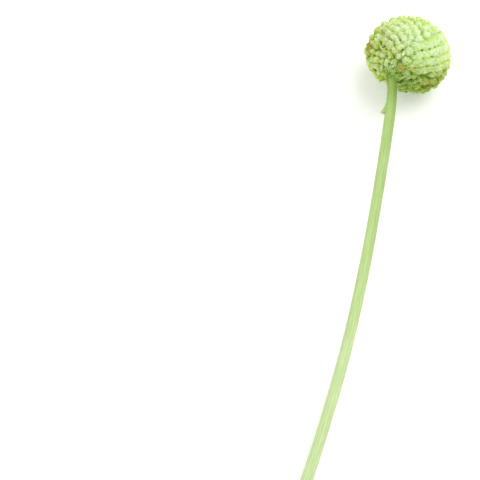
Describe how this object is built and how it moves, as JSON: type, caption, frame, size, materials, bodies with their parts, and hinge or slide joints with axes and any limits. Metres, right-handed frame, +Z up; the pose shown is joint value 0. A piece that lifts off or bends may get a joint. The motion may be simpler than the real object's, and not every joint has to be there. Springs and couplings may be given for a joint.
{
  "type": "billy buttons stem",
  "caption": "Dried billy button flower: a globe head of packed florets on a long, gently curved bare stem, lying on its side.",
  "frame": {"origin": "middle of the bounding box, at the surface that the flower lies on", "axes": "+Z up, +X from the cut end of the stem towards the flower head"},
  "size_m": [0.2786, 0.0336, 0.0313],
  "materials": {
    "florets": "matte",
    "stem": "matte",
    "leaf_stub": "matte",
    "bracts": "matte"
  },
  "bodies": {
    "root": {"flower_head": "florets", "stem": "stem", "leaf_stub": "leaf_stub", "bract_1": "bracts", "bract_2": "bracts", "bract_3": "bracts", "bract_4": "bracts", "bract_5": "bracts", "bract_6": "bracts"}
  },
  "joints": []
}
